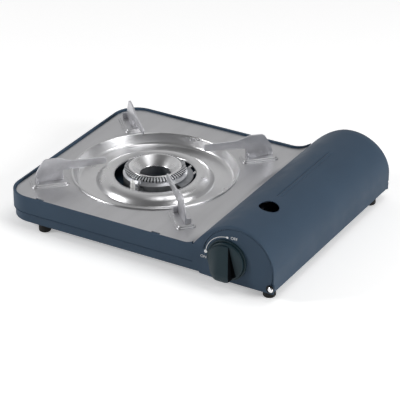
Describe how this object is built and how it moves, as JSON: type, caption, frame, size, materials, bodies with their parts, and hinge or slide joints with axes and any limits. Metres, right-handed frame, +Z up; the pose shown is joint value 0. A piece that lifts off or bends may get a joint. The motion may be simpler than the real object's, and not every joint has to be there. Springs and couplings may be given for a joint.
{
  "type": "cassette gas stove",
  "caption": "Slim cassette stove with a ring burner in a drip bowl, upright pan-support blades and an arched hinged lid over the canister bay.",
  "frame": {"origin": "on the ground under the middle of the stove's bounding box", "axes": "+X along the width towards the canister bay, +Y from the knob's side to the rear, +Z up"},
  "size_m": [0.34, 0.288, 0.0765],
  "materials": {
    "case_paint": "satin paint",
    "lid_paint": "gloss paint",
    "plate_grey": "matt coated plate",
    "bowl_bright": "bright pressed sheet",
    "cast_alloy": "die cast",
    "blade_enamel": "matt enamel",
    "plated_steel": "zinc plated",
    "brass_part": "turned",
    "knob_plastic": "satin moulded",
    "black_plastic": "moulded",
    "white_plastic": "moulded",
    "white_ceramic": "glazed ceramic",
    "lead_sleeve": "silicone sleeve",
    "black_rubber": "moulded rubber"
  },
  "bodies": {
    "case": {"lower_tray": "case_paint", "bay_tray": "case_paint", "body_shell": "case_paint", "top_plate": "plate_grey", "drip_bowl": "bowl_bright", "pan_support_fl": "blade_enamel", "pan_support_fr": "blade_enamel", "pan_support_bl": "blade_enamel", "pan_support_br": "blade_enamel", "burner_base": "cast_alloy", "burner_ring": "cast_alloy", "burner_cap": "bowl_bright", "mixing_tube": "plated_steel", "burner_bracket": "plated_steel", "burner_screws": "plated_steel", "electrode_ceramic": "white_ceramic", "electrode_wire": "plated_steel", "flame_target": "plated_steel", "ignition_lead": "lead_sleeve", "piezo_igniter": "black_plastic", "gas_nozzle": "brass_part", "gas_pipe": "brass_part", "valve_body": "cast_alloy", "valve_screws": "plated_steel", "regulator_cover": "cast_alloy", "regulator_screws": "plated_steel", "socket_bulkhead": "plated_steel", "canister_socket": "black_plastic", "socket_seal": "black_rubber", "socket_magnets": "plated_steel", "heat_shield": "plated_steel", "lid_catch": "plated_steel", "lid_pin_front": "plated_steel", "lid_pin_rear": "plated_steel", "lid_boss_front": "black_rubber", "knob_bezel": "knob_plastic", "case_screws": "plated_steel", "foot_fl": "black_rubber", "foot_fr": "black_rubber", "foot_bl": "black_rubber", "foot_br": "black_rubber", "foot_screws": "plated_steel"},
    "lid": {"gas_lid": "lid_paint"},
    "knob_set": {"knob": "knob_plastic", "valve_spindle": "brass_part", "ignition_cam": "white_plastic"},
    "plunger": {"piezo_plunger": "white_plastic"}
  },
  "joints": [
    {"name": "lid_open", "type": "hinge", "parent": "case", "child": "lid", "pos_m": [0.1668, -0.12815, 0.0154], "axis": [0, 1, 0], "range_deg": [0, 95]},
    {"name": "knob_turn", "type": "hinge", "parent": "case", "child": "knob_set", "pos_m": [0.1145, -0.12965, 0.036], "axis": [0, -1, 0], "range_deg": [0, 90]},
    {"name": "plunger_slide", "type": "slide", "parent": "case", "child": "plunger", "axis": [-1, 0, 0], "range_m": [0, 0.004]}
  ],
  "couplings": [
    {"joint": "plunger_slide", "follows": "knob_turn", "m_per_rad": 0.0025465}
  ]
}
